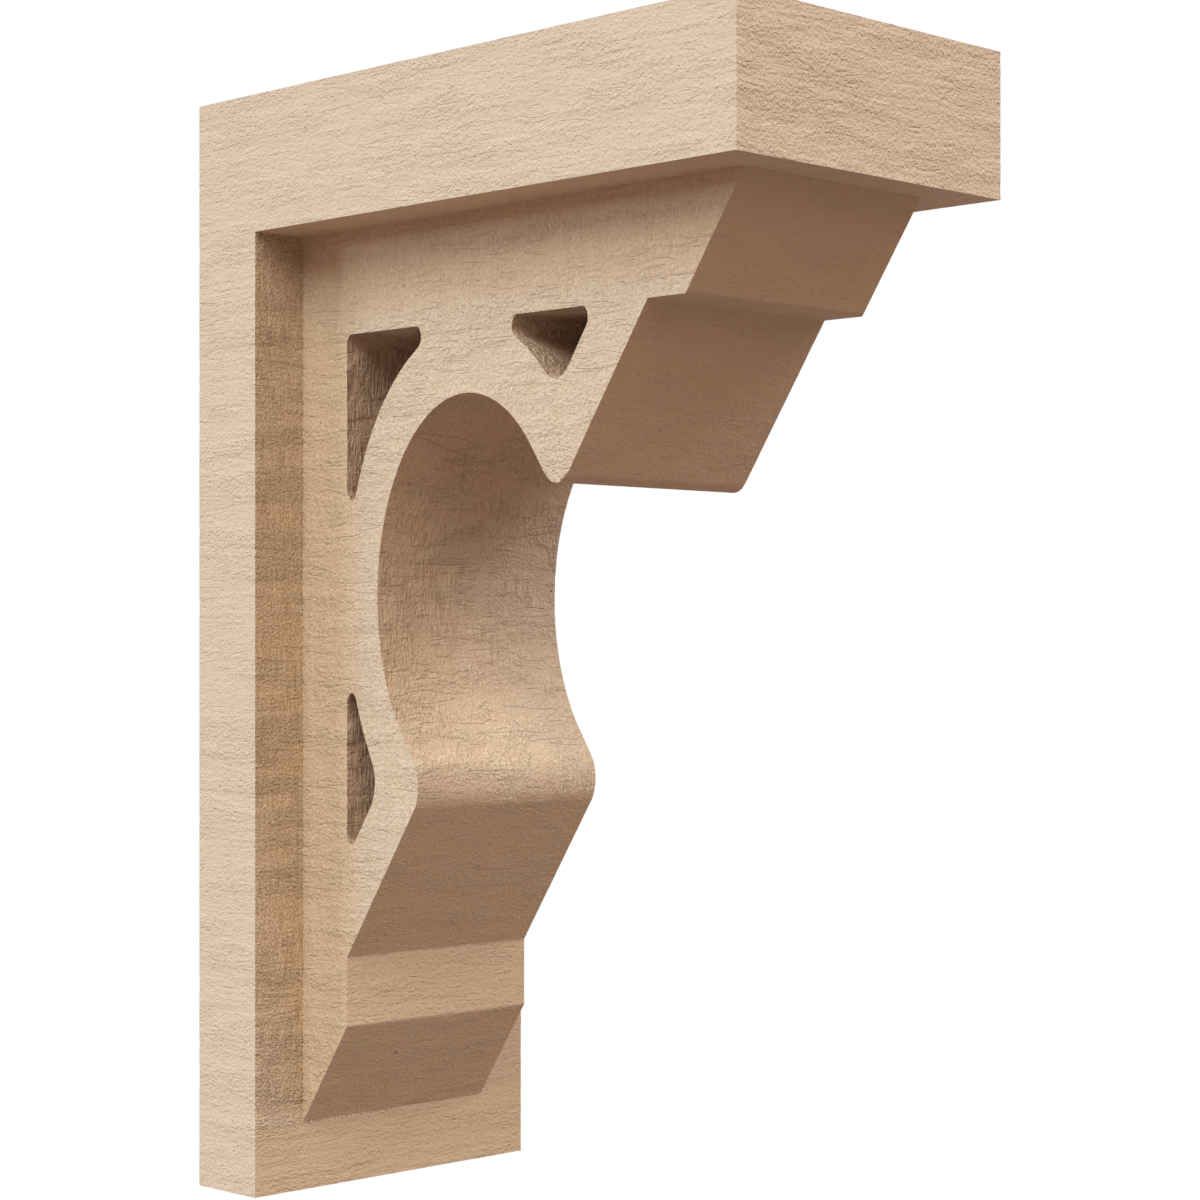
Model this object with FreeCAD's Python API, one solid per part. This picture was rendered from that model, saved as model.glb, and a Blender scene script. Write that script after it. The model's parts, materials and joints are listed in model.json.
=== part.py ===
import FreeCAD, Part
import math
import os

# A corbel of rough-sawn timber: a back board against the wall, a top board that carries the load,
# and a scroll-cut brace between them, pulled together with countersunk screws.
# Millimetres. X runs across the corbel, the wall is the plane Y = 0 and the corbel stands out
# towards -Y, Z is up. The origin is the middle of the face that bears on the wall.

# Boards
BOARD_WIDTH = 152.4
DEPTH = 304.8
HEIGHT = 457.2
BACK_THICKNESS = 38.1
TOP_THICKNESS = 57.15

# Brace. It is drawn on a square pattern, where the corner of the two boards is the zero point and
# every slant is at 45 degrees. The pattern is then drawn out upright to reach down the back board,
# so these sizes are true where they are measured level.
BRACE_WIDTH = 101.6
FRONT_SETBACK = 19.05
TOE_SETBACK = 28.575
RAIL = 28.575
SHOULDER = 19.05
TIP_RADIUS = 9.525

# Arched bay in the middle of the brace, and the ring of timber round it
BAY_SIDE = 19.05
WEB = 19.05
WINDOW_RADIUS = 3.0

# Screws, countersunk on the wall side and on top. Their holes stop short of the windows.
SCREW_DIAMETER = 4.8
HEAD_DIAMETER = 9.4
HEAD_RIM = 0.4
HEAD_SINK = 0.5
POINT_LENGTH = 6.0
DRIVE_SIZE = 2.9
DRIVE_DEPTH = 2.0
HOLE_CLEARANCE = 0.2
PILOT_SPARE = 2.0
POINT_COVER = 8.0
SCREW_SPACING = 50.8
END_MARGIN = 50.8
EDGE_MARGIN = 25.4

# Sizes that follow from those above
TOP_FACE = HEIGHT / 2
BOTTOM_END = -HEIGHT / 2
UNDERSIDE = TOP_FACE - TOP_THICKNESS
REACH = DEPTH - BACK_THICKNESS - FRONT_SETBACK
DROP = HEIGHT - TOP_THICKNESS - TOE_SETBACK
STRETCH = DROP / REACH
DIAGONAL = REACH - SHOULDER
BACK_BITE = RAIL - POINT_COVER - PILOT_SPARE
TOP_BITE = RAIL * STRETCH - POINT_COVER - PILOT_SPARE
SQUARE_ROOT_2 = math.sqrt(2)

# The centre of the arch lies on the pattern's line of symmetry, and its ring just touches the rails.
ARCH_CENTRE = (DIAGONAL - SQUARE_ROOT_2 * BAY_SIDE) / 2
ARCH_RADIUS = ARCH_CENTRE - RAIL - WEB

# Directions in the pattern: along the brace's front edge, and from that edge into the corner.
ALONG = FreeCAD.Vector(0, 1, -1) / SQUARE_ROOT_2
INWARD = FreeCAD.Vector(0, 1, 1) / SQUARE_ROOT_2

# From the pattern to the place on the boards
DRAWN_OUT = FreeCAD.Matrix(
    1, 0, 0, -BRACE_WIDTH / 2,
    0, 1, 0, -BACK_THICKNESS,
    0, 0, STRETCH, UNDERSIDE,
    0, 0, 0, 1,
)


def pattern_point(out, down):
    return FreeCAD.Vector(0, -out, -down)


def ellipse(circle):
    """The pattern's circle as it lies once drawn out, turning the same way round."""
    centre = DRAWN_OUT.multVec(circle.Center)
    level = FreeCAD.Vector(0, circle.Radius, 0)
    upright = FreeCAD.Vector(0, 0, circle.Radius * STRETCH)
    shorter, longer = sorted((level, upright), key=lambda half_axis: half_axis.Length)
    if longer.cross(shorter).dot(circle.Axis) < 0:
        shorter = -shorter
    return Part.Ellipse(centre + longer, centre + shorter, centre)


def drawn_out(wire):
    """The pattern's outline at its true size: lines stay lines, round arcs become elliptical."""
    edges = []
    for edge in wire.OrderedEdges:
        start, end = (DRAWN_OUT.multVec(edge.valueAt(place)) for place in edge.ParameterRange)
        if isinstance(edge.Curve, Part.Line):
            edges.append(Part.makeLine(start, end))
        else:
            curve = ellipse(edge.Curve)
            arc = Part.ArcOfEllipse(curve, curve.parameter(start), curve.parameter(end))
            edges.append(arc.toShape())
    return Part.Face(Part.Wire(edges))


def tip(corner, before, after, radius):
    """Arc that rounds a square corner. The two directions point away from the corner."""
    start = corner + before * radius
    end = corner + after * radius
    centre = start + after * radius
    middle = centre - (before + after) * (radius / SQUARE_ROOT_2)
    return Part.Arc(start, middle, end).toShape()


def brace_outline():
    """Front slant, shoulder, nose, arched bay, belly, and the slant down to the toe."""
    corner = pattern_point(0, 0)
    front_top = pattern_point(REACH, 0)
    front_low = pattern_point(REACH - RAIL, RAIL)
    shoulder = pattern_point(DIAGONAL - RAIL, RAIL)
    ankle = pattern_point(RAIL, DIAGONAL - RAIL)
    toe_top = pattern_point(RAIL, REACH - RAIL)
    toe = pattern_point(0, REACH)

    mouth = pattern_point(DIAGONAL / 2, DIAGONAL / 2)
    nose = mouth - ALONG * ARCH_RADIUS
    belly = mouth + ALONG * ARCH_RADIUS
    arch_start = nose + INWARD * BAY_SIDE
    arch_end = belly + INWARD * BAY_SIDE
    arch_crown = mouth + INWARD * (BAY_SIDE + ARCH_RADIUS)

    edges = [
        Part.makeLine(corner, front_top),
        Part.makeLine(front_top, front_low),
        Part.makeLine(front_low, shoulder),
        Part.makeLine(shoulder, nose - ALONG * TIP_RADIUS),
        tip(nose, -ALONG, INWARD, TIP_RADIUS),
        Part.makeLine(nose + INWARD * TIP_RADIUS, arch_start),
        Part.Arc(arch_start, arch_crown, arch_end).toShape(),
        Part.makeLine(arch_end, belly + INWARD * TIP_RADIUS),
        tip(belly, INWARD, ALONG, TIP_RADIUS),
        Part.makeLine(belly + ALONG * TIP_RADIUS, ankle),
        Part.makeLine(ankle, toe_top),
        Part.makeLine(toe_top, toe),
        Part.makeLine(toe, corner),
    ]
    return Part.Wire(edges)


def nearest(shapes, point):
    return min(shapes, key=lambda shape: shape.CenterOfMass.distanceToPoint(point))


def rounded(face, corner, radius):
    """The face with its corner nearest to the given point rounded."""
    across = FreeCAD.Vector(BRACE_WIDTH, 0, 0)
    prism = face.extrude(across)
    arrises = [edge for edge in prism.Edges if abs(edge.tangentAt(edge.FirstParameter).x) > 0.9]
    arris = nearest(arrises, corner + across / 2)
    return nearest(prism.makeFillet(radius, [arris]).Faces, face.CenterOfMass)


def window_outlines():
    """The three windows between the rails, the ring round the bay and the front strip.

    A round cutter clears them. The path of its centre keeps one radius inside every edge, and the
    window is that path grown by the radius again, so that its corners come out round. The corner
    behind the nose is rounded as much as the nose itself. The lower window is the upper one
    mirrored in the pattern's line of symmetry.
    """
    inset = RAIL + WINDOW_RADIUS
    ring = ARCH_RADIUS + WEB + WINDOW_RADIUS
    front = DIAGONAL - SQUARE_ROOT_2 * (WEB + WINDOW_RADIUS)
    start = pattern_point(inset, inset)
    triangle = Part.Face(Part.makePolygon([
        start,
        pattern_point(front - inset, inset),
        pattern_point(inset, front - inset),
        start,
    ]))

    centre = pattern_point(ARCH_CENTRE, ARCH_CENTRE)
    upper_side = centre - ALONG * ring
    lower_side = centre + ALONG * ring
    outside = INWARD * -DEPTH
    bay = Part.Face(Part.Wire([
        Part.Arc(upper_side, centre + INWARD * ring, lower_side).toShape(),
        Part.makeLine(lower_side, lower_side + outside),
        Part.makeLine(lower_side + outside, upper_side + outside),
        Part.makeLine(upper_side + outside, upper_side),
    ]))

    paths = triangle.cut(bay).Faces
    nose = pattern_point(DIAGONAL / 2, DIAGONAL / 2) - ALONG * ARCH_RADIUS
    corner = nearest(paths, start)
    upper = rounded(nearest(paths, nose), nose, TIP_RADIUS - WINDOW_RADIUS)
    lower = upper.mirror(FreeCAD.Vector(0, 0, 0), ALONG)
    return [path.makeOffset2D(WINDOW_RADIUS).Faces[0].OuterWire for path in (corner, upper, lower)]


def turned(corners):
    """Solid turned about the Z axis from a half section given as radius and height."""
    profile = Part.Face(Part.makePolygon([FreeCAD.Vector(radius, 0, z) for radius, z in corners]))
    return profile.revolve(FreeCAD.Vector(0, 0, 0), FreeCAD.Vector(0, 0, 1), 360)


def screw(thickness, bite):
    """Countersunk wood screw with a square driving socket, seated below the plane Z = 0."""
    head_radius = HEAD_DIAMETER / 2
    radius = SCREW_DIAMETER / 2
    rim = -HEAD_SINK - HEAD_RIM
    point = -thickness - bite
    body = turned([
        (0, -HEAD_SINK),
        (head_radius, -HEAD_SINK),
        (head_radius, rim),
        (radius, rim - (head_radius - radius)),
        (radius, point + POINT_LENGTH),
        (0, point),
        (0, -HEAD_SINK),
    ])
    socket = Part.makeBox(DRIVE_SIZE, DRIVE_SIZE, DRIVE_DEPTH)
    socket.translate(FreeCAD.Vector(-DRIVE_SIZE / 2, -DRIVE_SIZE / 2, -HEAD_SINK - DRIVE_DEPTH))
    return body.cut(socket)


def clearance_hole(thickness):
    """Hole through the board that a screw passes, countersunk at the plane Z = 0."""
    head_radius = HEAD_DIAMETER / 2
    hole_radius = SCREW_DIAMETER / 2 + HOLE_CLEARANCE
    rim = -HEAD_SINK - HEAD_RIM
    return turned([
        (0, 0),
        (head_radius, 0),
        (head_radius, rim),
        (hole_radius, rim - (head_radius - hole_radius)),
        (hole_radius, -thickness),
        (0, -thickness),
        (0, 0),
    ])


def pilot_hole(thickness, bite):
    """Hole that the screw fills in the piece behind the board, drilled a little past its point."""
    start = FreeCAD.Vector(0, 0, -thickness)
    down = FreeCAD.Vector(0, 0, -1)
    return Part.makeCylinder(SCREW_DIAMETER / 2, bite + PILOT_SPARE, start, down)


def back_places():
    """A pair of screws near each end of the brace's back, heads on the wall side."""
    forward = FreeCAD.Rotation(FreeCAD.Vector(0, 0, -1), FreeCAD.Vector(0, -1, 0))
    return [
        FreeCAD.Placement(FreeCAD.Vector(x, 0, height), forward)
        for height in (UNDERSIDE - DROP + END_MARGIN, UNDERSIDE - END_MARGIN)
        for x in (-SCREW_SPACING / 2, SCREW_SPACING / 2)
    ]


def top_places():
    """A pair of screws down into the front of the brace."""
    run = BACK_THICKNESS + REACH - END_MARGIN
    return [
        FreeCAD.Placement(FreeCAD.Vector(x, -run, TOP_FACE), FreeCAD.Rotation())
        for x in (-SCREW_SPACING / 2, SCREW_SPACING / 2)
    ]


def corner_places():
    """Two screws that pull the top board down on the back board's end."""
    side = BOARD_WIDTH / 2 - EDGE_MARGIN
    return [
        FreeCAD.Placement(FreeCAD.Vector(x, -BACK_THICKNESS / 2, TOP_FACE), FreeCAD.Rotation())
        for x in (-side, side)
    ]


def at_places(shape, places):
    copies = []
    for place in places:
        copy = shape.copy()
        copy.Placement = place
        copies.append(copy)
    return copies


def screws(thickness, bite, places):
    return Part.makeCompound(at_places(screw(thickness, bite), places))


def back_board():
    board = Part.makeBox(BOARD_WIDTH, BACK_THICKNESS, UNDERSIDE - BOTTOM_END)
    board.translate(FreeCAD.Vector(-BOARD_WIDTH / 2, -BACK_THICKNESS, BOTTOM_END))
    holes = at_places(clearance_hole(BACK_THICKNESS), back_places())
    holes += at_places(pilot_hole(TOP_THICKNESS, TOP_BITE), corner_places())
    return board.cut(holes)


def top_board():
    board = Part.makeBox(BOARD_WIDTH, DEPTH, TOP_THICKNESS)
    board.translate(FreeCAD.Vector(-BOARD_WIDTH / 2, -DEPTH, UNDERSIDE))
    holes = at_places(clearance_hole(TOP_THICKNESS), top_places() + corner_places())
    return board.cut(holes)


def centre_brace():
    across = FreeCAD.Vector(BRACE_WIDTH, 0, 0)
    face = drawn_out(brace_outline())
    windows = [drawn_out(outline) for outline in window_outlines()]
    brace = face.cut(windows).Faces[0].extrude(across)
    holes = at_places(pilot_hole(BACK_THICKNESS, BACK_BITE), back_places())
    holes += at_places(pilot_hole(TOP_THICKNESS, TOP_BITE), top_places())
    return brace.cut(holes)


def write(name, shape):
    shape.exportStep(os.path.join("parts", name + ".step"))
    print(name, "solids", len(shape.Solids), "valid", shape.isValid(), "volume", round(shape.Volume))


os.makedirs("parts", exist_ok=True)
write("back_board", back_board())
write("top_board", top_board())
write("centre_brace", centre_brace())
write("back_screws", screws(BACK_THICKNESS, BACK_BITE, back_places()))
write("top_screws", screws(TOP_THICKNESS, TOP_BITE, top_places()))
write("corner_screws", screws(TOP_THICKNESS, TOP_BITE, corner_places()))
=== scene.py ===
import math

import bpy
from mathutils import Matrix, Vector
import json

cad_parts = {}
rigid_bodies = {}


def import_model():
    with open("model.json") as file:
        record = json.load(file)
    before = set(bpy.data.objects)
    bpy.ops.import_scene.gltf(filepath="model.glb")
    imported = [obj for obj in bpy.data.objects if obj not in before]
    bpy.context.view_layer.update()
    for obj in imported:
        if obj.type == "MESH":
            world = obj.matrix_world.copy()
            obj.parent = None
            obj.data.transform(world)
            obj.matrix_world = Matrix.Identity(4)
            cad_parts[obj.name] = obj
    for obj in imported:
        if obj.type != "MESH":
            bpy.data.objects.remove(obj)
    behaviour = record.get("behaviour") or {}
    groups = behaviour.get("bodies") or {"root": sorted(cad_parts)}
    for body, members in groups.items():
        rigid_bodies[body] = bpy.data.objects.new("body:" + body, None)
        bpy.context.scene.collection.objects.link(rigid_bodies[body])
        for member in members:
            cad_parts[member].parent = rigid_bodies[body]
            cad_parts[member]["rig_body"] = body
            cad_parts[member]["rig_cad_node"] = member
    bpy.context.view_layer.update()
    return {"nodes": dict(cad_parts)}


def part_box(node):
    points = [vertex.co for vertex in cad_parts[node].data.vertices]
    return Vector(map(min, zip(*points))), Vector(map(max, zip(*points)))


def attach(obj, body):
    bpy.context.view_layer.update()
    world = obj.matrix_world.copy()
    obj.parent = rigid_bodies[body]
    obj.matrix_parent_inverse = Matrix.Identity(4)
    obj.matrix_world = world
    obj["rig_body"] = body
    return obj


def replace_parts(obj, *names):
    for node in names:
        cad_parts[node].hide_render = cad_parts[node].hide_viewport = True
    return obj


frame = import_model()
MM = 0.001

# The back board: an upright board of bare softwood that bears on the wall. Its faces are left rough
# from the saw, with level ridges and fine pebbly fibres. It is bored for the screws that hold the brace
# on its front, and its top end takes the corner screws that come down through the top board.
ACROSS = 0
OUT = 1
UP = 2
CELL = 0.85 * MM
HAIR = 0.01 * MM
back_low, back_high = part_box("back_board")
brace_low, brace_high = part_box("centre_brace")
top_low, top_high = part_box("top_board")
board_thickness = back_high.y - back_low.y
top_thickness = top_high.z - top_low.z


def only(piece):
    """Leaves this piece as the one selected and active object."""
    bpy.ops.object.select_all(action="DESELECT")
    piece.select_set(True)
    bpy.context.view_layer.objects.active = piece


def choose(piece, kind, wanted):
    """In edit mode, leaves selected only the faces or edges for which wanted(part) is true."""
    only(piece)
    bpy.ops.object.mode_set(mode="EDIT")
    bpy.ops.mesh.select_mode(type="FACE" if kind == "faces" else "EDGE")
    bpy.ops.mesh.select_all(action="DESELECT")
    bpy.ops.object.mode_set(mode="OBJECT")
    parts = piece.data.polygons if kind == "faces" else piece.data.edges
    for part in parts:
        part.select = bool(wanted(part))
    bpy.ops.object.mode_set(mode="EDIT")


def settle():
    """Puts the active object's place, turn and size into its mesh."""
    bpy.ops.object.transform_apply(location=True, rotation=True, scale=True)


def runs_along(piece, edge, axis):
    """True where an edge runs along that axis."""
    start, end = (piece.data.vertices[i].co for i in edge.vertices)
    run = end - start
    return abs(run[axis]) > 0.99 * run.length


def sawn_board(name, low, high):
    """A board at its size, divided into small square cells that can take the marks of the saw."""
    bpy.ops.object.select_all(action="DESELECT")
    bpy.ops.mesh.primitive_cube_add(size=1, location=(low + high) / 2, scale=high - low)
    board = bpy.context.object
    board.name = name
    settle()
    for axis in (ACROSS, OUT, UP):
        cells = round((high[axis] - low[axis]) / CELL)
        choose(board, "edges", lambda edge: runs_along(board, edge, axis))
        bpy.ops.mesh.subdivide(number_cuts=cells - 1)
        bpy.ops.object.mode_set(mode="OBJECT")
    return board


back_board = sawn_board("back_board_timber", back_low, back_high)

# The saw's marks are pressed into its faces, but not where the brace covers it or into its top end.
RIDGE_DEPTH = 0.12 * MM
DENT_DEPTH = 0.10 * MM
PATTERN_START = (0.013, 0.007, 0.011)


def saw_pattern(name, finer_layers, pitch):
    """A pattern that the saw leaves, and the holder that draws it out to its pitch along each axis. The
    finer layers are how many times it is laid over itself at half the size."""
    pattern = bpy.data.textures.new(name, "CLOUDS")
    pattern.noise_scale = 1.0
    pattern.noise_depth = finer_layers
    bpy.ops.object.empty_add(location=PATTERN_START)
    holder = bpy.context.object
    holder.scale = pitch
    bpy.context.view_layer.update()
    return pattern, holder


def press(piece, places, direction, inwards, pattern, depth):
    """Presses a pattern into the vertices at places, only inwards, so the piece keeps its size."""
    only(piece)
    group = piece.vertex_groups.new(name="pressed")
    group.add(places, 1.0, "REPLACE")
    mark = piece.modifiers.new("press", "DISPLACE")
    mark.texture, mark.texture_coords_object = pattern
    mark.texture_coords = "OBJECT"
    mark.vertex_group = group.name
    mark.direction = direction
    mark.mid_level = 1.0
    mark.strength = -inwards * depth
    bpy.ops.object.modifier_apply(modifier=mark.name)
    piece.vertex_groups.clear()


def press_side(piece, axis, side, at, ridges, spared=None):
    """Marks one flat side of a piece, low (-1) or high (1), at its place along the axis."""
    places = [v.index for v in piece.data.vertices
              if abs(v.co[axis] - at) < HAIR and not (spared and spared(v.co))]
    for pattern, depth in ((ridges, RIDGE_DEPTH), (dents, DENT_DEPTH)):
        press(piece, places, "XYZ"[axis], -side, pattern, depth)


def under_brace(place):
    """The part of the back board's front that the brace covers."""
    return brace_low.x - CELL < place.x < brace_high.x + CELL and place.z > brace_low.z - CELL


level_ridges = saw_pattern("level ridges", finer_layers=1, pitch=(24 * MM, 24 * MM, 3.0 * MM))
lengthwise_ridges = saw_pattern("lengthwise ridges", finer_layers=1, pitch=(3.0 * MM, 24 * MM, 24 * MM))
across_ridges = saw_pattern("across ridges", finer_layers=1, pitch=(24 * MM, 4.0 * MM, 3.0 * MM))
dents = saw_pattern("dents", finer_layers=0, pitch=(2.6 * MM, 2.6 * MM, 2.0 * MM))
press_side(back_board, ACROSS, -1, back_low.x, level_ridges)
press_side(back_board, ACROSS, 1, back_high.x, level_ridges)
press_side(back_board, OUT, -1, back_low.y, level_ridges, under_brace)
press_side(back_board, OUT, 1, back_high.y, level_ridges)
press_side(back_board, UP, -1, back_low.z, lengthwise_ridges)

# It is bored from the wall side, and from above into its top end, where the screws of the frame stand.
to_front = Vector((0, -1, 0))
downwards = Vector((0, 0, -1))
SCREW_BODY = 4.8 * MM
SCREW_HEAD = 9.4 * MM
SCREW_POINT = 6.0 * MM
SCREW_TIP = 0.1 * MM
HEAD_SINK = 0.5 * MM
HEAD_RIM = 0.4 * MM
CLEARANCE_HOLE = 5.2 * MM
DRILL_SPARE = 1 * MM
ROUND_SIDES = 48


def screw_places(node, axis):
    """The middle of each screw's head in a node, at the end that it was driven by, and their length."""
    across = [i for i in range(3) if i != axis]
    low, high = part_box(node)
    screws = []
    for vertex in frame["nodes"][node].data.vertices:
        for screw in screws:
            if all(abs(vertex.co[i] - screw[0][i]) < 2 * SCREW_HEAD for i in across):
                screw.append(vertex.co)
                break
        else:
            screws.append([vertex.co])
    heads = []
    for screw in screws:
        head = Vector([(min(co[i] for co in screw) + max(co[i] for co in screw)) / 2 for i in range(3)])
        head[axis] = high[axis]
        heads.append(head)
    return heads, high[axis] - low[axis]


def turned_bar(name, start, pointing, steps):
    """A round bar drawn out from a disc: each step is a distance from start and the radius there."""
    bpy.ops.object.select_all(action="DESELECT")
    turn = Vector((0, 0, 1)).rotation_difference(pointing).to_euler()
    distance, radius = steps[0]
    bpy.ops.mesh.primitive_circle_add(vertices=ROUND_SIDES, radius=radius, fill_type="NGON",
                                      location=start + pointing * distance, rotation=turn)
    bar = bpy.context.object
    bar.name = name
    settle()
    bpy.ops.object.mode_set(mode="EDIT")
    bpy.ops.mesh.select_mode(type="FACE")
    bpy.ops.mesh.select_all(action="SELECT")
    for next_distance, next_radius in steps[1:]:
        move = pointing * (next_distance - distance)
        bpy.ops.mesh.extrude_region_move(TRANSFORM_OT_translate={"value": move})
        grow = next_radius / radius
        bpy.ops.transform.resize(value=(grow, grow, grow),
                                 center_override=start + pointing * next_distance)
        distance, radius = next_distance, next_radius
    bpy.ops.mesh.select_all(action="SELECT")
    bpy.ops.mesh.normals_make_consistent(inside=False)
    bpy.ops.object.mode_set(mode="OBJECT")
    return bar


def through_bit(head, pointing, thickness):
    """A drill for a screw's clearance hole with its countersink, from the face inwards."""
    face = head - pointing * HEAD_SINK
    rim = HEAD_SINK + HEAD_RIM
    cone = (SCREW_HEAD - CLEARANCE_HOLE) / 2
    steps = [(-DRILL_SPARE, SCREW_HEAD / 2), (rim, SCREW_HEAD / 2), (rim + cone, CLEARANCE_HOLE / 2),
             (thickness + DRILL_SPARE, CLEARANCE_HOLE / 2)]
    return turned_bar("bit", face, pointing, steps)


def pilot_bit(entry, pointing, depth):
    """A drill for the hole that a screw's thread cuts into, from a joint face inwards to its point."""
    steps = [(-DRILL_SPARE, SCREW_BODY / 2), (depth - SCREW_POINT, SCREW_BODY / 2), (depth, SCREW_TIP)]
    return turned_bar("bit", entry, pointing, steps)


def bore(piece, bits):
    """Bores a piece with all of these bits at once, and takes the bits away."""
    only(bits[0])
    for bit in bits:
        bit.select_set(True)
    if len(bits) > 1:
        bpy.ops.object.join()
    joined = bits[0]
    only(piece)
    cut = piece.modifiers.new("bore", "BOOLEAN")
    cut.operation = "DIFFERENCE"
    cut.solver = "EXACT"
    cut.object = joined
    bpy.ops.object.modifier_apply(modifier=cut.name)
    bpy.data.objects.remove(joined)


back_heads, back_length = screw_places("back_screws", OUT)
top_heads, top_length = screw_places("top_screws", UP)
corner_heads, corner_length = screw_places("corner_screws", UP)
in_end = corner_length - (top_thickness - HEAD_SINK)
bits = [through_bit(head, to_front, board_thickness) for head in back_heads]
bits += [pilot_bit(Vector((head.x, head.y, top_low.z)), downwards, in_end) for head in corner_heads]
bore(back_board, bits)

# Its timber is bare softwood. One grain serves all the corbel's timber, at depths that suit each face.
# The tone runs from the dark to the light colour, and its dark end also takes the painted shade of
# hollows, pits and creases.
TIMBER_LIGHT = (0.83, 0.685, 0.535)
TIMBER_DARK = (0.55, 0.41, 0.28)
PIN_SPOT = (0.30, 0.20, 0.13, 1)
UPRIGHT = (0, 0, 0)
LYING = (0, math.radians(90), 0)
SMOOTH_BELOW = math.radians(30)
EVEN_SHARE = 0.8
BAND_SHARE = 0.6
PIT_DEPTH = 0.15
WANDER = 5 * MM
CREASE_WIDTH = 0.022
LEAST_TOOTHED = 0.3
SPOT_PITCH = 24 * MM
SPOT_RADIUS = 0.032
SPOT_SHARE = 0.5
SPOT_DEPTH = 0.3
MIDDLE_TONE = 0.42
LIGHTEST_HOLLOW = 0.2


def feed(tree, value, target):
    """Gives a node's input a plain value or another node's output."""
    if isinstance(value, bpy.types.NodeSocket):
        tree.links.new(value, target)
    else:
        target.default_value = value


def noise(tree, place, pitch, detail):
    """Noise drawn out to a pitch along each axis, given in millimetres."""
    draw = tree.nodes.new("ShaderNodeMapping")
    draw.inputs["Scale"].default_value = [1 / (p * MM) for p in pitch]
    feed(tree, place, draw.inputs["Vector"])
    field = tree.nodes.new("ShaderNodeTexNoise")
    field.inputs["Scale"].default_value = 1.0
    field.inputs["Detail"].default_value = detail
    field.inputs["Roughness"].default_value = 0.55
    feed(tree, draw.outputs["Vector"], field.inputs["Vector"])
    return field.outputs["Fac"]


def arithmetic(tree, operation, *values):
    """The result of an operation on plain values or other nodes' outputs."""
    node = tree.nodes.new("ShaderNodeMath")
    node.operation = operation
    for value, target in zip(values, node.inputs):
        feed(tree, value, target)
    return node.outputs[0]


def laid_on(tree, below, mark, amount):
    """What is below with this amount of a mark laid on it."""
    return arithmetic(tree, "MULTIPLY_ADD", mark, amount, below)


def within(tree, value, low, high):
    """A soft mask that rises from 0 at low to 1 at high."""
    node = tree.nodes.new("ShaderNodeMapRange")
    node.interpolation_type = "SMOOTHSTEP"
    node.inputs["From Min"].default_value = low
    node.inputs["From Max"].default_value = high
    feed(tree, value, node.inputs["Value"])
    return node.outputs["Result"]


def blended(tree, share, first, second):
    """A colour that goes from the first to the second as the share goes from 0 to 1."""
    node = tree.nodes.new("ShaderNodeMix")
    node.data_type = "RGBA"
    first_colour, second_colour = node.inputs[6], node.inputs[7]
    feed(tree, share, node.inputs["Factor"])
    feed(tree, first, first_colour)
    feed(tree, second, second_colour)
    return node.outputs[2]


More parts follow.
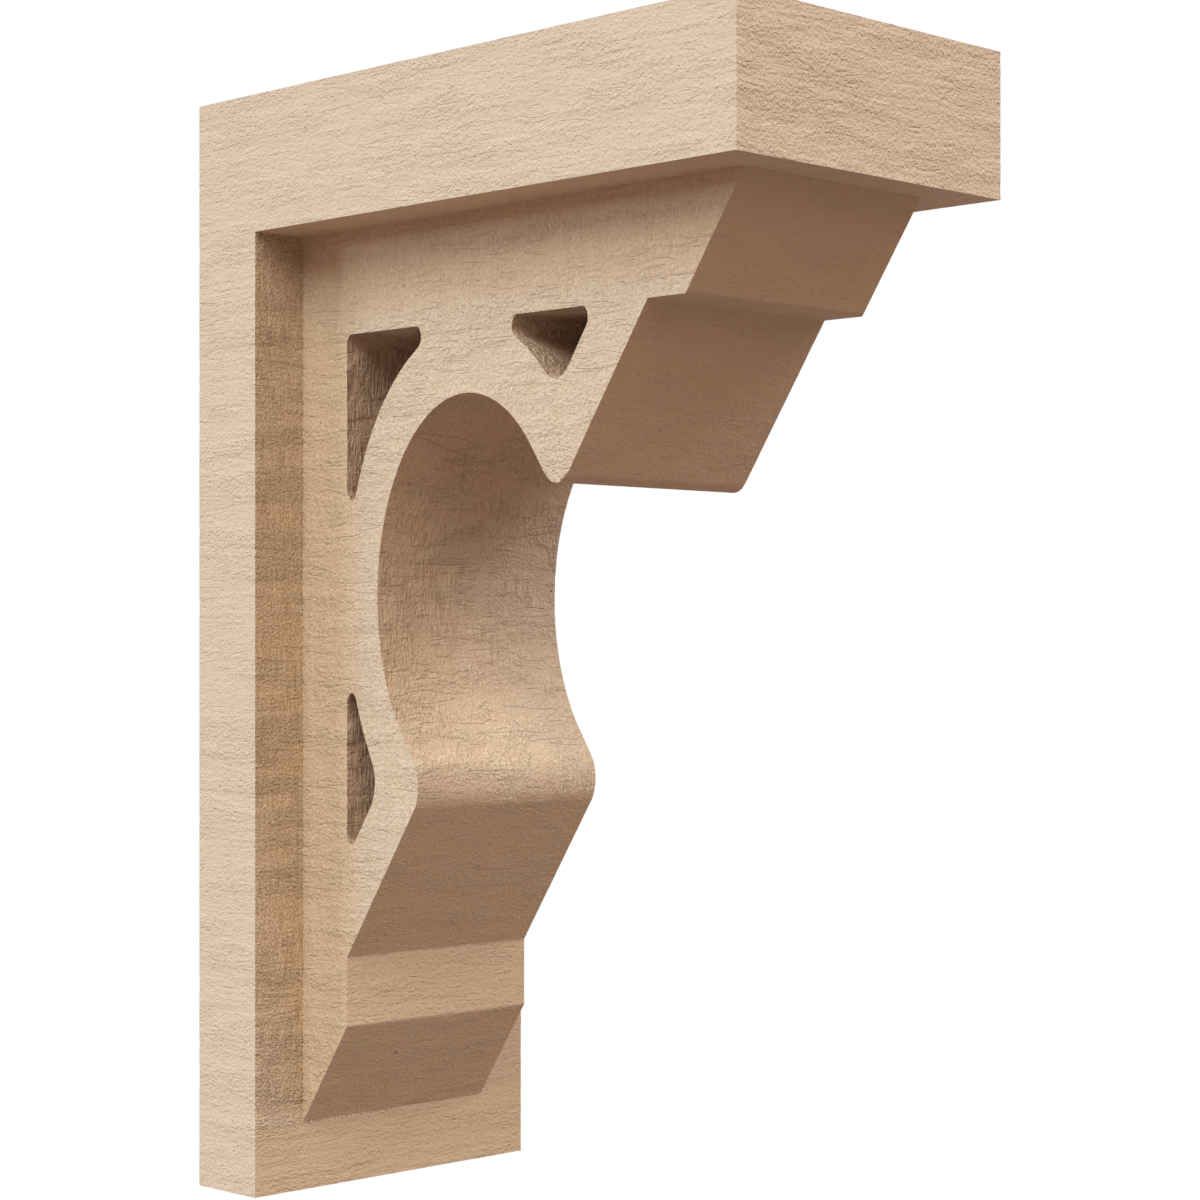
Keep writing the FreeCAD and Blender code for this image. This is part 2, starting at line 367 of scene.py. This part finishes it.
def make_sawn_grain():
    """What a rough saw leaves on softwood, as a height in millimetres, a tone from dark at 0 to light at
    1 that also holds painted light and shade of the relief, and a few pin spots. The depths are in
    millimetres, and the shades are shares of the tone: painted shade in hollows with painted light on
    pebble tops, and a darker tone in rough bands."""
    group = bpy.data.node_groups.new("sawn grain", "ShaderNodeTree")
    group.interface.new_socket(name="Place", in_out="INPUT", socket_type="NodeSocketVector")
    for mark in ("Pebble Depth", "Fibre Depth", "Ridge Depth", "Crease Depth", "Line Depth",
                 "Swell Depth", "Hollow Shade", "Band Shade"):
        group.interface.new_socket(name=mark, in_out="INPUT", socket_type="NodeSocketFloat")
    for result in ("Height", "Tone", "Pin Spots"):
        group.interface.new_socket(name=result, in_out="OUTPUT", socket_type="NodeSocketFloat")
    given = group.nodes.new("NodeGroupInput").outputs
    place = given["Place"]

    # Pebbles, drawn-out fibres and torn pits, which are deeper in rough bands than between them.
    pebbles = noise(group, place, pitch=(1.0, 1.0, 1.2), detail=3.0)
    fibres = noise(group, place, pitch=(2.4, 2.4, 1.5), detail=1.0)
    torn = noise(group, place, pitch=(2.2, 2.2, 1.3), detail=1.0)
    pits = within(group, arithmetic(group, "SUBTRACT", 1.0, torn), low=0.60, high=0.72)
    bands = within(group, noise(group, place, pitch=(60, 60, 11), detail=2.0), low=0.42, high=0.66)
    height = arithmetic(group, "MULTIPLY", pebbles, given["Pebble Depth"])
    height = laid_on(group, height, fibres, given["Fibre Depth"])
    height = laid_on(group, height, pits, -PIT_DEPTH)
    roughness = laid_on(group, EVEN_SHARE, bands, BAND_SHARE)
    height = arithmetic(group, "MULTIPLY", height, roughness)

    # Level ridges that wander a little, and broken creases where the fibres fold.
    wander = group.nodes.new("ShaderNodeVectorMath")
    wander.operation = "MULTIPLY_ADD"
    feed(group, noise(group, place, pitch=(28, 28, 14), detail=1.0), wander.inputs[0])
    wander.inputs[1].default_value = (0, 0, WANDER)
    feed(group, place, wander.inputs[2])
    wavy = wander.outputs["Vector"]
    ridges = noise(group, wavy, pitch=(24, 24, 1.9), detail=1.0)
    height = laid_on(group, height, ridges, given["Ridge Depth"])
    folds = noise(group, wavy, pitch=(34, 34, 4.2), detail=1.0)
    from_fold = arithmetic(group, "ABSOLUTE", arithmetic(group, "SUBTRACT", folds, 0.5))
    off_fold = within(group, from_fold, low=0.0, high=CREASE_WIDTH)
    on_fold = arithmetic(group, "SUBTRACT", 1.0, off_fold)
    broken = within(group, noise(group, place, pitch=(22, 22, 9), detail=1.0), low=0.46, high=0.56)
    creases = arithmetic(group, "MULTIPLY", on_fold, broken)
    crease_depth = arithmetic(group, "MULTIPLY", creases, given["Crease Depth"])
    height = arithmetic(group, "SUBTRACT", height, crease_depth)

    # Upright lines that the saw's teeth leave, deeper in patches, and broad upright swells.
    lines = noise(group, place, pitch=(1.2, 1.2, 9), detail=2.0)
    patches = within(group, noise(group, place, pitch=(20, 20, 14), detail=1.0), low=0.44, high=0.54)
    toothed = laid_on(group, LEAST_TOOTHED, patches, 1 - LEAST_TOOTHED)
    line_depth = arithmetic(group, "MULTIPLY", lines, given["Line Depth"])
    height = laid_on(group, height, line_depth, toothed)
    swells = noise(group, place, pitch=(8, 8, 45), detail=1.0)
    height = laid_on(group, height, swells, given["Swell Depth"])

    # Pin spots, in the middle of about half of the cells of a loose net.
    net = group.nodes.new("ShaderNodeTexVoronoi")
    net.inputs["Scale"].default_value = 1 / SPOT_PITCH
    feed(group, place, net.inputs["Vector"])
    near = arithmetic(group, "LESS_THAN", net.outputs["Distance"], SPOT_RADIUS)
    parts = group.nodes.new("ShaderNodeSeparateColor")
    feed(group, net.outputs["Color"], parts.inputs["Color"])
    chosen = arithmetic(group, "LESS_THAN", parts.outputs[0], SPOT_SHARE)
    spots = arithmetic(group, "MULTIPLY", near, chosen)
    height = laid_on(group, height, spots, -SPOT_DEPTH)

    # The tone, with painted light and shade of the relief: lighter on ridges and pebble tops, and darker
    # in hollows, pits and creases, where shade falls. It is also darker in rough bands.
    centred = arithmetic(group, "SUBTRACT", lines, 0.5)
    lined = arithmetic(group, "MULTIPLY", centred, given["Line Depth"])
    hollows = laid_on(group, arithmetic(group, "SUBTRACT", pebbles, 0.5), lined, toothed)
    hollows = arithmetic(group, "MINIMUM", hollows, LIGHTEST_HOLLOW)
    broad = noise(group, place, pitch=(40, 40, 16), detail=2.0)
    tone = laid_on(group, MIDDLE_TONE, broad, 0.08)
    tone = laid_on(group, tone, ridges, 0.10)
    tone = laid_on(group, tone, hollows, given["Hollow Shade"])
    tone = laid_on(group, tone, pits, -0.06)
    tone = laid_on(group, tone, creases, -0.08)
    banded = arithmetic(group, "MULTIPLY", bands, given["Band Shade"])
    tone = arithmetic(group, "SUBTRACT", tone, banded)

    result = group.nodes.new("NodeGroupOutput").inputs
    feed(group, height, result["Height"])
    feed(group, tone, result["Tone"])
    feed(group, spots, result["Pin Spots"])
    return group


def timber(name, lay, light_and_shade_tint, **marks):
    """Bare sawn softwood. The lay turns its level ridges lengthwise on level faces. The colour cast is
    painted light and shade, which lightens, darkens, warms or cools this copy of the timber for the faces
    that take it, and the marks are the depths and shades of its grain. A mark that isn't named is left
    out."""
    material = bpy.data.materials.new(name)
    material.use_nodes = True
    tree = material.node_tree
    skin = tree.nodes["Principled BSDF"].inputs
    skin["Roughness"].default_value = 0.8
    skin["Specular IOR Level"].default_value = 0.2
    place = tree.nodes.new("ShaderNodeTexCoord").outputs["Object"]
    turned = tree.nodes.new("ShaderNodeMapping")
    turned.inputs["Rotation"].default_value = lay
    feed(tree, place, turned.inputs["Vector"])
    grain = tree.nodes.new("ShaderNodeGroup")
    grain.node_tree = sawn_grain
    feed(tree, turned.outputs["Vector"], grain.inputs["Place"])
    for mark, amount in marks.items():
        grain.inputs[mark.replace("_", " ").title()].default_value = amount
    tones = tree.nodes.new("ShaderNodeValToRGB")
    for end, colour in zip(tones.color_ramp.elements, (TIMBER_DARK, TIMBER_LIGHT)):
        end.color = [part * cast for part, cast in zip(colour, light_and_shade_tint)] + [1]
    feed(tree, grain.outputs["Tone"], tones.inputs["Fac"])
    spotted = blended(tree, grain.outputs["Pin Spots"], tones.outputs["Color"], PIN_SPOT)
    feed(tree, spotted, skin["Base Color"])
    relief = tree.nodes.new("ShaderNodeBump")
    relief.inputs["Strength"].default_value = 1.0
    relief.inputs["Distance"].default_value = MM
    feed(tree, grain.outputs["Height"], relief.inputs["Height"])
    feed(tree, relief.outputs["Normal"], skin["Normal"])
    return material


def facing(face):
    """The axis that a face looks along most."""
    turned = [abs(part) for part in face.normal]
    return turned.index(max(turned))


def dress(piece, timber_for):
    """Gives each face of a piece the timber that timber_for(face) picks, and smooths its fine relief."""
    picks = [timber_for(face) for face in piece.data.polygons]
    timbers = list(dict.fromkeys(picks))
    piece.data.materials.clear()
    for material in timbers:
        piece.data.materials.append(material)
    for face, picked in zip(piece.data.polygons, picks):
        face.material_index = timbers.index(picked)
    only(piece)
    bpy.ops.object.shade_smooth_by_angle(angle=SMOOTH_BELOW)


def back_board_timber(face):
    """Plain on the sides, the ends and the wall face. The front is rough left of the brace, with strong
    painted shade in its hollows, and smooth right of it and below it, where it is darker by painted
    shade."""
    if face.normal.y > 0.7:
        return side_timber
    if facing(face) == OUT:
        smooth = face.center.x > 0 or face.center.z < brace_low.z
        return foot_timber if smooth else strip_timber
    return level_timber if facing(face) == UP else side_timber


sawn_grain = make_sawn_grain()
# The casts of these copies of one timber are painted light and shade, lighter or darker by the light
# their faces get; the side's is a little lighter and cooler.
side_timber = timber(
    "sawn timber side", UPRIGHT, light_and_shade_tint=(1.02, 1.03, 1.03),
    pebble_depth=0.52, fibre_depth=0.34, ridge_depth=0.22, crease_depth=0.13, line_depth=0.15,
    hollow_shade=0.5)
level_timber = timber(
    "sawn timber level", LYING, light_and_shade_tint=(1.0, 1.0, 1.0),
    pebble_depth=0.52, fibre_depth=0.34, ridge_depth=0.22, crease_depth=0.13, line_depth=0.15,
    hollow_shade=0.5)
# Its cast is painted light, and its strong hollow mark is painted shade in the hollows of the shadowed
# strip.
strip_timber = timber(
    "sawn timber strip", UPRIGHT, light_and_shade_tint=(1.04, 1.01, 0.98),
    pebble_depth=1.9, fibre_depth=0.6, ridge_depth=0.45, crease_depth=0.35, line_depth=0.7,
    swell_depth=0.3, hollow_shade=3.1)
# Its darker, browner cast is painted shade.
foot_timber = timber(
    "sawn timber foot", UPRIGHT, light_and_shade_tint=(0.90, 0.87, 0.81),
    pebble_depth=0.45, fibre_depth=0.34, ridge_depth=0.26, crease_depth=0.14, line_depth=0.15,
    hollow_shade=0.2)
dress(back_board, back_board_timber)
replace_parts(back_board, "back_board")
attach(back_board, "root")

# The brace: one thick piece of the same softwood, cut to a scroll outline with an arched bay and pierced
# with three windows. It is glued and screwed to the front of the back board, narrower than both boards.
ACROSS_CELL = 2.2 * MM
BRACE_CELL = 1.6 * MM
SHARP_CORNER = math.radians(25)
brace_width = brace_high.x - brace_low.x

only(frame["nodes"]["centre_brace"])
bpy.ops.object.duplicate()
brace = bpy.context.object
brace.name = "centre_brace_timber"
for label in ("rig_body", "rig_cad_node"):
    del brace[label]
bpy.ops.object.parent_clear(type="CLEAR_KEEP_TRANSFORM")

# The left face is kept, and then only its outline, with its edges divided for the smoothing.
bpy.ops.object.mode_set(mode="EDIT")
bpy.ops.mesh.select_all(action="SELECT")
bpy.ops.mesh.remove_doubles(threshold=HAIR / 10)
bpy.ops.object.mode_set(mode="OBJECT")
choose(brace, "faces", lambda face: face.normal.x > -0.9 or abs(face.center.x - brace_low.x) > HAIR)
bpy.ops.mesh.delete(type="FACE")
bpy.ops.mesh.select_all(action="SELECT")
bpy.ops.mesh.region_to_loop()
bpy.ops.mesh.select_all(action="INVERT")
bpy.ops.mesh.delete(type="EDGE_FACE")
bpy.ops.mesh.select_mode(type="VERT")
bpy.ops.mesh.select_all(action="SELECT")
bpy.ops.mesh.dissolve_limited(angle_limit=math.radians(0.2))
bpy.ops.mesh.subdivide(number_cuts=5)
bpy.ops.object.mode_set(mode="OBJECT")


def turns_at(piece):
    """How far the outline turns at each of its points."""
    points = piece.data.vertices
    beside = {}
    for edge in piece.data.edges:
        for one, other in (edge.vertices, reversed(edge.vertices)):
            beside.setdefault(one, []).append(points[other].co - points[one].co)
    return {one: math.pi - runs[0].angle(runs[1]) for one, runs in beside.items()}


# The arcs are smoothed between the sharp corners, and the outline is filled and cut into cells.
turns = turns_at(brace)
bpy.ops.object.mode_set(mode="EDIT")
bpy.ops.mesh.select_all(action="DESELECT")
bpy.ops.object.mode_set(mode="OBJECT")
for point in brace.data.vertices:
    point.select = turns[point.index] < SHARP_CORNER
bpy.ops.object.mode_set(mode="EDIT")
bpy.ops.mesh.vertices_smooth(factor=0.5, repeat=8)
bpy.ops.mesh.select_all(action="SELECT")
bpy.ops.mesh.dissolve_limited(angle_limit=math.radians(2))
bpy.ops.mesh.select_all(action="SELECT")
bpy.ops.mesh.fill(use_beauty=True)
bpy.ops.mesh.select_mode(type="FACE")
bpy.ops.mesh.select_all(action="SELECT")
bpy.ops.mesh.dissolve_limited(angle_limit=math.radians(0.1))
bpy.ops.mesh.normals_make_consistent(inside=False)
bpy.ops.object.mode_set(mode="OBJECT")
if brace.data.polygons[0].normal.x > 0:
    brace.data.flip_normals()
bpy.ops.object.mode_set(mode="EDIT")
for axis, square_to in ((OUT, Vector((0, 1, 0))), (UP, Vector((0, 0, 1)))):
    reach = brace_high[axis] - brace_low[axis]
    cells = round(reach / BRACE_CELL)
    for i in range(1, cells):
        through = square_to * (brace_low[axis] + reach * i / cells)
        bpy.ops.mesh.select_all(action="SELECT")
        bpy.ops.mesh.bisect(plane_co=through, plane_no=square_to, threshold=HAIR / 10)
bpy.ops.object.mode_set(mode="OBJECT")

# It is drawn out to its width, marked by the saw on its open faces and bored for the screws' threads.
only(brace)
thick = brace.modifiers.new("thick", "SOLIDIFY")
thick.thickness = brace_width
thick.offset = -1
bpy.ops.object.modifier_apply(modifier=thick.name)


def on_joint(place):
    """The flat faces that the brace is glued by, against the back board and under the top board."""
    return place.y > brace_high.y - HAIR or place.z > brace_high.z - HAIR


def across_and_open(edge):
    """Edges that run across the brace on its cut faces, but not inside a joint face."""
    start = brace.data.vertices[edge.vertices[0]].co
    return runs_along(brace, edge, ACROSS) and not on_joint(start)


choose(brace, "edges", across_and_open)
bpy.ops.mesh.subdivide(number_cuts=round(brace_width / ACROSS_CELL) - 1)
bpy.ops.object.mode_set(mode="OBJECT")
on_cut_faces = [v.index for v in brace.data.vertices
                if brace_low.x + HAIR < v.co.x < brace_high.x - HAIR and not on_joint(v.co)]
press(brace, on_cut_faces, "NORMAL", -1, across_ridges, RIDGE_DEPTH / 2)
press_side(brace, ACROSS, -1, brace_low.x, level_ridges)
press_side(brace, ACROSS, 1, brace_high.x, level_ridges)
in_back = back_length - (board_thickness - HEAD_SINK)
in_top = top_length - (top_thickness - HEAD_SINK)
bits = [pilot_bit(Vector((head.x, back_low.y, head.z)), to_front, in_back) for head in back_heads]
bits += [pilot_bit(Vector((head.x, head.y, top_low.z)), downwards, in_top) for head in top_heads]
bore(brace, bits)

# Its sides are like the boards. The scroll saw leaves the bay and windows rough and the slants smooth.
RING_MIDDLE = Vector((0, -138.93, 20.2)) * MM
RING_REACH = 60 * MM
RING_RISE = 86.5 * MM
# The casts of the brace's timbers are painted light and shade too.
brace_timber = timber(
    "sawn timber brace", UPRIGHT, light_and_shade_tint=(1.0, 0.99, 0.965),
    pebble_depth=0.50, fibre_depth=0.42, ridge_depth=0.22, crease_depth=0.20, line_depth=0.30,
    swell_depth=0.9, hollow_shade=1.5)
arch_timber = timber(
    "scroll-cut timber arch", UPRIGHT, light_and_shade_tint=(1.01, 1.0, 0.99),
    pebble_depth=1.0, fibre_depth=0.40, ridge_depth=0.16, crease_depth=0.35, line_depth=1.3,
    swell_depth=0.5, hollow_shade=1.4)
# Its darker cast is painted shade on the downward slants.
slant_timber = timber(
    "scroll-cut timber slants", UPRIGHT, light_and_shade_tint=(0.93, 0.92, 0.90),
    pebble_depth=0.5, fibre_depth=0.20, ridge_depth=0.08, crease_depth=0.12, line_depth=0.4,
    hollow_shade=0.35)
# Its darker, redder cast is painted shade inside the windows.
window_timber = timber(
    "scroll-cut timber windows", UPRIGHT, light_and_shade_tint=(0.94, 0.88, 0.87),
    pebble_depth=1.1, fibre_depth=0.50, ridge_depth=0.12, crease_depth=0.25, line_depth=2.6,
    swell_depth=0.5, hollow_shade=1.7)


def in_bay(place):
    """True inside an ellipse in the ring of timber, a little wider than the bay and short of the
    windows."""
    away = place - RING_MIDDLE
    return (away.y / RING_REACH) ** 2 + (away.z / RING_RISE) ** 2 < 1


def in_window(place):
    """True in the corner, upper or lower window and a millimetre round it, by how far out and up the
    place lies in millimetres."""
    out = -place.y / MM
    up = place.z / MM
    corner = 65.6 < out < 113.9 and 58.5 < up < 129.6
    upper = 164.0 < out < 209.1 and 99.8 < up < 129.6
    lower = 65.6 < out < 86.4 and -83.8 < up < -18.1
    return corner or upper or lower


def scroll_timber(face):
    """The timber of each face of the brace, with the upright flat over the toe as smooth as the foot and
    darkened by the same painted shade.
    """
    if abs(face.normal.x) > 0.7:
        return brace_timber
    if in_bay(face.center):
        return arch_timber
    if in_window(face.center):
        return window_timber
    if face.normal.y < -0.98 and face.center.z < brace_low.z / 2:
        return foot_timber
    return slant_timber if face.normal.z < -0.3 else arch_timber


dress(brace, scroll_timber)
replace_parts(brace, "centre_brace")
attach(brace, "root")

# The top board: a thicker board of the same softwood that carries the load. It runs back over the end of
# the back board to the wall, and is screwed down into that end and into the brace.
top_board = sawn_board("top_board_timber", top_low, top_high)
# Its lighter, cooler cast is painted light on the board's front and back ends.
front_timber = timber(
    "sawn timber front", UPRIGHT, light_and_shade_tint=(1.04, 1.06, 1.09),
    pebble_depth=0.85, fibre_depth=0.42, ridge_depth=0.36, crease_depth=0.15, line_depth=0.35,
    hollow_shade=0.6, band_shade=0.05)


def over_joint(place):
    """The part of the top board's underside that bears on the brace or on the back board."""
    over_brace = abs(place.x) < brace_high.x + CELL and place.y > brace_low.y - CELL
    return over_brace or place.y > back_low.y - CELL


def top_board_timber(face):
    """Plain on the sides, top and underside, and rougher on the front and back ends, which are also
    lighter and cooler by painted light.
    """
    return (side_timber, front_timber, level_timber)[facing(face)]


press_side(top_board, ACROSS, -1, top_low.x, level_ridges)
press_side(top_board, ACROSS, 1, top_high.x, level_ridges)
press_side(top_board, OUT, -1, top_low.y, level_ridges)
press_side(top_board, OUT, 1, top_high.y, level_ridges)
press_side(top_board, UP, -1, top_low.z, lengthwise_ridges, over_joint)
press_side(top_board, UP, 1, top_high.z, lengthwise_ridges)
bore(top_board, [through_bit(head, downwards, top_thickness) for head in top_heads + corner_heads])
dress(top_board, top_board_timber)
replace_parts(top_board, "top_board")
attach(top_board, "root")
for _, holder in (level_ridges, lengthwise_ridges, across_ridges, dents):
    bpy.data.objects.remove(holder)

# The screws: zinc-plated steel wood screws with countersunk heads, square sockets and rolled threads,
# driven until their heads lie just below the wood. Four hold the brace to the back board. Two longer
# ones come down through the top board into the brace, and two into the back board's end.
HEAD_EDGE = 0.15 * MM
SHANK = 4.0 * MM
SHANK_SHARE = 0.42
CORE = 3.3 * MM
THREAD_DIAMETER = 4.7 * MM
THREAD_PITCH = 2.6 * MM
THREAD_ROOT = 0.2 * MM
SOCKET_SIDE = 2.9 * MM
SOCKET_DEPTH = 2.0 * MM
FIRST_STOP = math.radians(17)
NEXT_STOP = math.radians(53)

zinc = bpy.data.materials.new("zinc plate")
zinc.use_nodes = True
plate = zinc.node_tree.nodes["Principled BSDF"].inputs
plate["Metallic"].default_value = 1.0
plate["Base Color"].default_value = (0.40, 0.39, 0.37, 1)
on_plate = zinc.node_tree.nodes.new("ShaderNodeTexCoord").outputs["Object"]
bloom = noise(zinc.node_tree, on_plate, pitch=(1.8, 1.8, 1.8), detail=3.0)
feed(zinc.node_tree, laid_on(zinc.node_tree, 0.22, bloom, 0.3), plate["Roughness"])


def rolled_thread(start, turns):
    """A ridge of three sides, 1.5 radii high, wound downwards round the core and closed at both ends."""
    ridge = (THREAD_DIAMETER - CORE) / 2 + THREAD_ROOT
    ridge_radius = ridge / 1.5
    bpy.ops.object.select_all(action="DESELECT")
    bpy.ops.mesh.primitive_circle_add(vertices=3, radius=ridge_radius, fill_type="NOTHING",
                                      location=(THREAD_DIAMETER / 2 - ridge_radius, 0, start),
                                      rotation=(math.radians(-90), math.radians(-90), 0))
    thread = bpy.context.object
    settle()
    winding = thread.modifiers.new("winding", "SCREW")
    winding.axis = "Z"
    winding.angle = math.radians(-360)
    winding.screw_offset = -THREAD_PITCH
    winding.iterations = turns
    winding.steps = winding.render_steps = ROUND_SIDES // 2
    bpy.ops.object.modifier_apply(modifier=winding.name)
    bpy.ops.object.mode_set(mode="EDIT")
    bpy.ops.mesh.select_all(action="SELECT")
    bpy.ops.mesh.remove_doubles(threshold=HAIR / 10)
    bpy.ops.mesh.fill_holes(sides=3)
    bpy.ops.mesh.select_all(action="SELECT")
    bpy.ops.mesh.normals_make_consistent(inside=False)
    bpy.ops.object.mode_set(mode="OBJECT")
    return thread


def wood_screw(length):
    """A wood screw that points down from the origin, with the flat of its head level with it."""
    head = SCREW_HEAD / 2
    shank = SHANK / 2
    core = CORE / 2
    smooth = SHANK_SHARE * length
    steps = [(0, head - HEAD_EDGE), (HEAD_EDGE, head), (HEAD_RIM, head),
             (HEAD_RIM + head - shank, shank), (smooth, shank), (smooth + shank - core, core),
             (length - SCREW_POINT, core), (length, SCREW_TIP)]
    screw = turned_bar("screw", Vector((0, 0, 0)), downwards, steps)
    bpy.ops.object.select_all(action="DESELECT")
    bpy.ops.mesh.primitive_cube_add(size=1, location=(0, 0, (DRILL_SPARE - SOCKET_DEPTH) / 2),
                                    scale=(SOCKET_SIDE, SOCKET_SIDE, SOCKET_DEPTH + DRILL_SPARE))
    square = bpy.context.object
    settle()
    bore(screw, [square])
    turns = int((length - SCREW_POINT - smooth) / THREAD_PITCH) - 1
    thread = rolled_thread(-smooth - THREAD_PITCH / 2, turns)
    only(screw)
    thread.select_set(True)
    bpy.ops.object.join()
    return screw


def drive_screws(name, heads, pointing, length):
    """Copies of one screw driven at each head's place, each stopped at its own turn, as one piece."""
    first = wood_screw(length)
    driven = []
    for count, head in enumerate(heads):
        only(first)
        bpy.ops.object.duplicate()
        screw = bpy.context.object
        screw.rotation_euler = (0, 0, FIRST_STOP + NEXT_STOP * count)
        settle()
        screw.rotation_euler = downwards.rotation_difference(pointing).to_euler()
        screw.location = head
        settle()
        driven.append(screw)
    bpy.data.objects.remove(first)
    only(driven[0])
    for screw in driven:
        screw.select_set(True)
    bpy.ops.object.join()
    piece = driven[0]
    piece.name = name
    piece.data.materials.clear()
    piece.data.materials.append(zinc)
    bpy.ops.object.shade_smooth_by_angle(angle=SMOOTH_BELOW)
    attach(piece, "root")
    return piece


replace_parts(drive_screws("back_screws_zinc", back_heads, to_front, back_length), "back_screws")
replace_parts(drive_screws("top_screws_zinc", top_heads, downwards, top_length), "top_screws")
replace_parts(drive_screws("corner_screws_zinc", corner_heads, downwards, corner_length), "corner_screws")

# The studio: a plain pale floor well below the corbel, which hangs free as in the photograph, under soft
# lamps. The world is a warm, dim room that cameras and reflections see as plain white.
FLOOR_DROP = 0.78
FLOOR_REACH = 2.3
FLOOR_SIDES = 128
LAMP_DISTANCE = 3
FLOOR_PAPER = (0.62, 0.60, 0.58, 1)
FLOOR_BOUNCE = (0.216, 0.143, 0.114, 1)
WARM_ROOM = (0.347, 0.240, 0.190, 1)
WHITE = (1, 1, 1, 1)


def seen_directly(tree):
    """1 for a camera, a reflection or a look through glass, and 0 for light that only bounces."""
    sight = tree.nodes.new("ShaderNodeLightPath").outputs
    seen = arithmetic(tree, "MAXIMUM", sight["Is Camera Ray"], sight["Is Glossy Ray"])
    return arithmetic(tree, "MAXIMUM", seen, sight["Is Transmission Ray"])


def soft_lamp(name, azimuth, height, softness, light):
    """A far lamp at an azimuth and a height in degrees. Its softness is how wide it is, in degrees."""
    side = math.radians(azimuth)
    up = math.radians(height)
    towards = Vector((math.sin(side) * math.cos(up), -math.cos(side) * math.cos(up), math.sin(up)))
    bpy.ops.object.light_add(type="SUN", location=towards * LAMP_DISTANCE)
    lamp = bpy.context.object
    lamp.name = name
    lamp.rotation_euler = towards.to_track_quat("Z", "Y").to_euler()
    lamp.data.angle = math.radians(softness)
    lamp.data.energy = max(light)
    lamp.data.color = [part / max(light) for part in light]


bpy.ops.object.select_all(action="DESELECT")
bpy.ops.mesh.primitive_circle_add(vertices=FLOOR_SIDES, radius=FLOOR_REACH, fill_type="NGON",
                                  location=(0, 0, -FLOOR_DROP))
floor = bpy.context.object
floor.name = "floor"
paper = bpy.data.materials.new("pale paper")
paper.use_nodes = True
sheet = paper.node_tree.nodes["Principled BSDF"].inputs
sheet["Roughness"].default_value = 0.9
sheet["Specular IOR Level"].default_value = 0.0
shown = blended(paper.node_tree, seen_directly(paper.node_tree), FLOOR_BOUNCE, FLOOR_PAPER)
feed(paper.node_tree, shown, sheet["Base Color"])
floor.data.materials.append(paper)

soft_lamp("left lamp", azimuth=285, height=46, softness=45, light=(2.10, 2.22, 2.07))
soft_lamp("front lamp", azimuth=352, height=39, softness=55, light=(0.86, 0.64, 0.40))
soft_lamp("near front lamp", azimuth=15, height=45, softness=20, light=(0.23, 0.38, 0.49))
soft_lamp("front right lamp", azimuth=45, height=45, softness=20, light=(0.98, 1.02, 1.07))
soft_lamp("wall edge lamp", azimuth=217, height=40, softness=8, light=(0.06, 0.44, 0.99))
soft_lamp("wall low lamp", azimuth=225, height=10, softness=8, light=(0.39, 0.42, 0.42))
soft_lamp("wall side lamp", azimuth=210, height=15, softness=20, light=(0.63, 0.66, 0.65))

room = bpy.data.worlds.new("room")
bpy.context.scene.world = room
room.use_nodes = True
room.node_tree.nodes.clear()
air = room.node_tree.nodes.new("ShaderNodeBackground")
shown = blended(room.node_tree, seen_directly(room.node_tree), WARM_ROOM, WHITE)
feed(room.node_tree, shown, air.inputs["Color"])
around = room.node_tree.nodes.new("ShaderNodeOutputWorld")
feed(room.node_tree, air.outputs["Background"], around.inputs["Surface"])

# The camera: level with the middle of the corbel and to its front left, as the photograph was taken,
# with a long lens that is shifted a little to frame the corbel as the photograph does.
bpy.ops.object.camera_add(location=(-0.78742, -0.93982, 0),
                          rotation=(math.radians(90), 0, math.radians(-45)))
camera = bpy.context.object
camera.data.sensor_width = 36
camera.data.lens = 82.66
camera.data.shift_x = 0.0162
camera.data.shift_y = 0.0384
bpy.context.scene.camera = camera
bpy.context.scene.view_settings.view_transform = "Standard"
